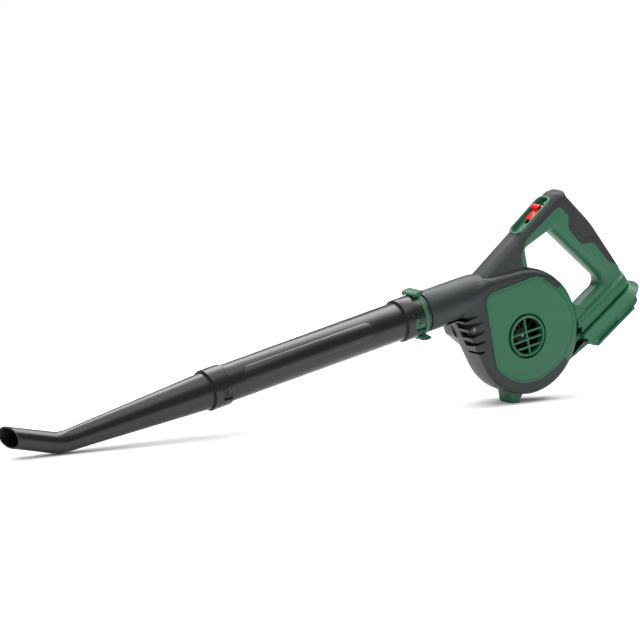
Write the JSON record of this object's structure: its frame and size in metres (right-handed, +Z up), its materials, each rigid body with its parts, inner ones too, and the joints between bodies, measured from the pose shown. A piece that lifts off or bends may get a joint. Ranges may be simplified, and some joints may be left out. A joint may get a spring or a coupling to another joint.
{
  "type": "leaf blower",
  "caption": "Handheld battery leaf blower with a side fan casing, looped handle with a slide switch, and a long air tube with a bent nozzle on bayonet collars.",
  "frame": {"origin": "on the ground, at the middle of the foot's flat face", "axes": "+Z up, -X towards the nozzle, +X towards the battery base, -Y the air inlet side"},
  "size_m": [0.9527, 0.0828, 0.2681],
  "materials": {
    "dark_plastic": "satin, fine moulded grain",
    "green_plastic": "fine moulded texture",
    "grip_rubber": "matt soft overmould",
    "red_plastic": "semi gloss",
    "black_plastic": "matt",
    "fan_plastic": "matt glass filled",
    "steel": "drawn",
    "magnet": "sintered",
    "brass": "plain",
    "board": "solder mask",
    "screw_steel": "dark zinc",
    "lead_rubber": "insulation",
    "seal_rubber": "moulded"
  },
  "bodies": {
    "blower": {"left_casing": "dark_plastic", "right_casing": "dark_plastic", "motor_cover": "dark_plastic", "left_handle": "green_plastic", "right_handle": "green_plastic", "fan_cover": "green_plastic", "stand_foot": "green_plastic", "switch_bezel": "green_plastic", "lock_ring": "green_plastic", "grip_overmold": "grip_rubber", "switch_module": "black_plastic", "contact_block": "black_plastic", "motor_can": "steel", "front_bearing": "steel", "rear_bearing": "steel", "motor_magnets": "magnet", "battery_contacts": "brass", "control_board": "board", "casing_screws": "screw_steel", "handle_screws": "screw_steel", "motor_screws": "screw_steel", "power_leads": "lead_rubber"},
    "rotor": {"impeller": "fan_plastic", "motor_shaft": "steel", "motor_rotor": "steel"},
    "slider": {"switch_slider": "red_plastic"},
    "tube": {"middle_tube": "dark_plastic", "outlet_washer": "seal_rubber"},
    "nozzle": {"nozzle": "dark_plastic", "nozzle_washer": "seal_rubber"}
  },
  "joints": [
    {"name": "rotor_spin", "type": "hinge", "parent": "blower", "child": "rotor", "pos_m": [0.0085, 0, 0.088], "axis": [0, 1, 0], "continuous": true},
    {"name": "switch_slide", "type": "slide", "parent": "blower", "child": "slider", "axis": [-0.7604, 0, -0.6494], "range_m": [0, 0.012]},
    {"name": "tube_twist", "type": "hinge", "parent": "blower", "child": "tube", "pos_m": [-0.00585, 0, 0.15549], "axis": [-0.9781, 0, -0.2079], "range_deg": [0, 15]},
    {"name": "nozzle_twist", "type": "hinge", "parent": "tube", "child": "nozzle", "pos_m": [-0.43623, 0, 0.06401], "axis": [-0.9781, 0, -0.2079], "range_deg": [0, 15]}
  ]
}
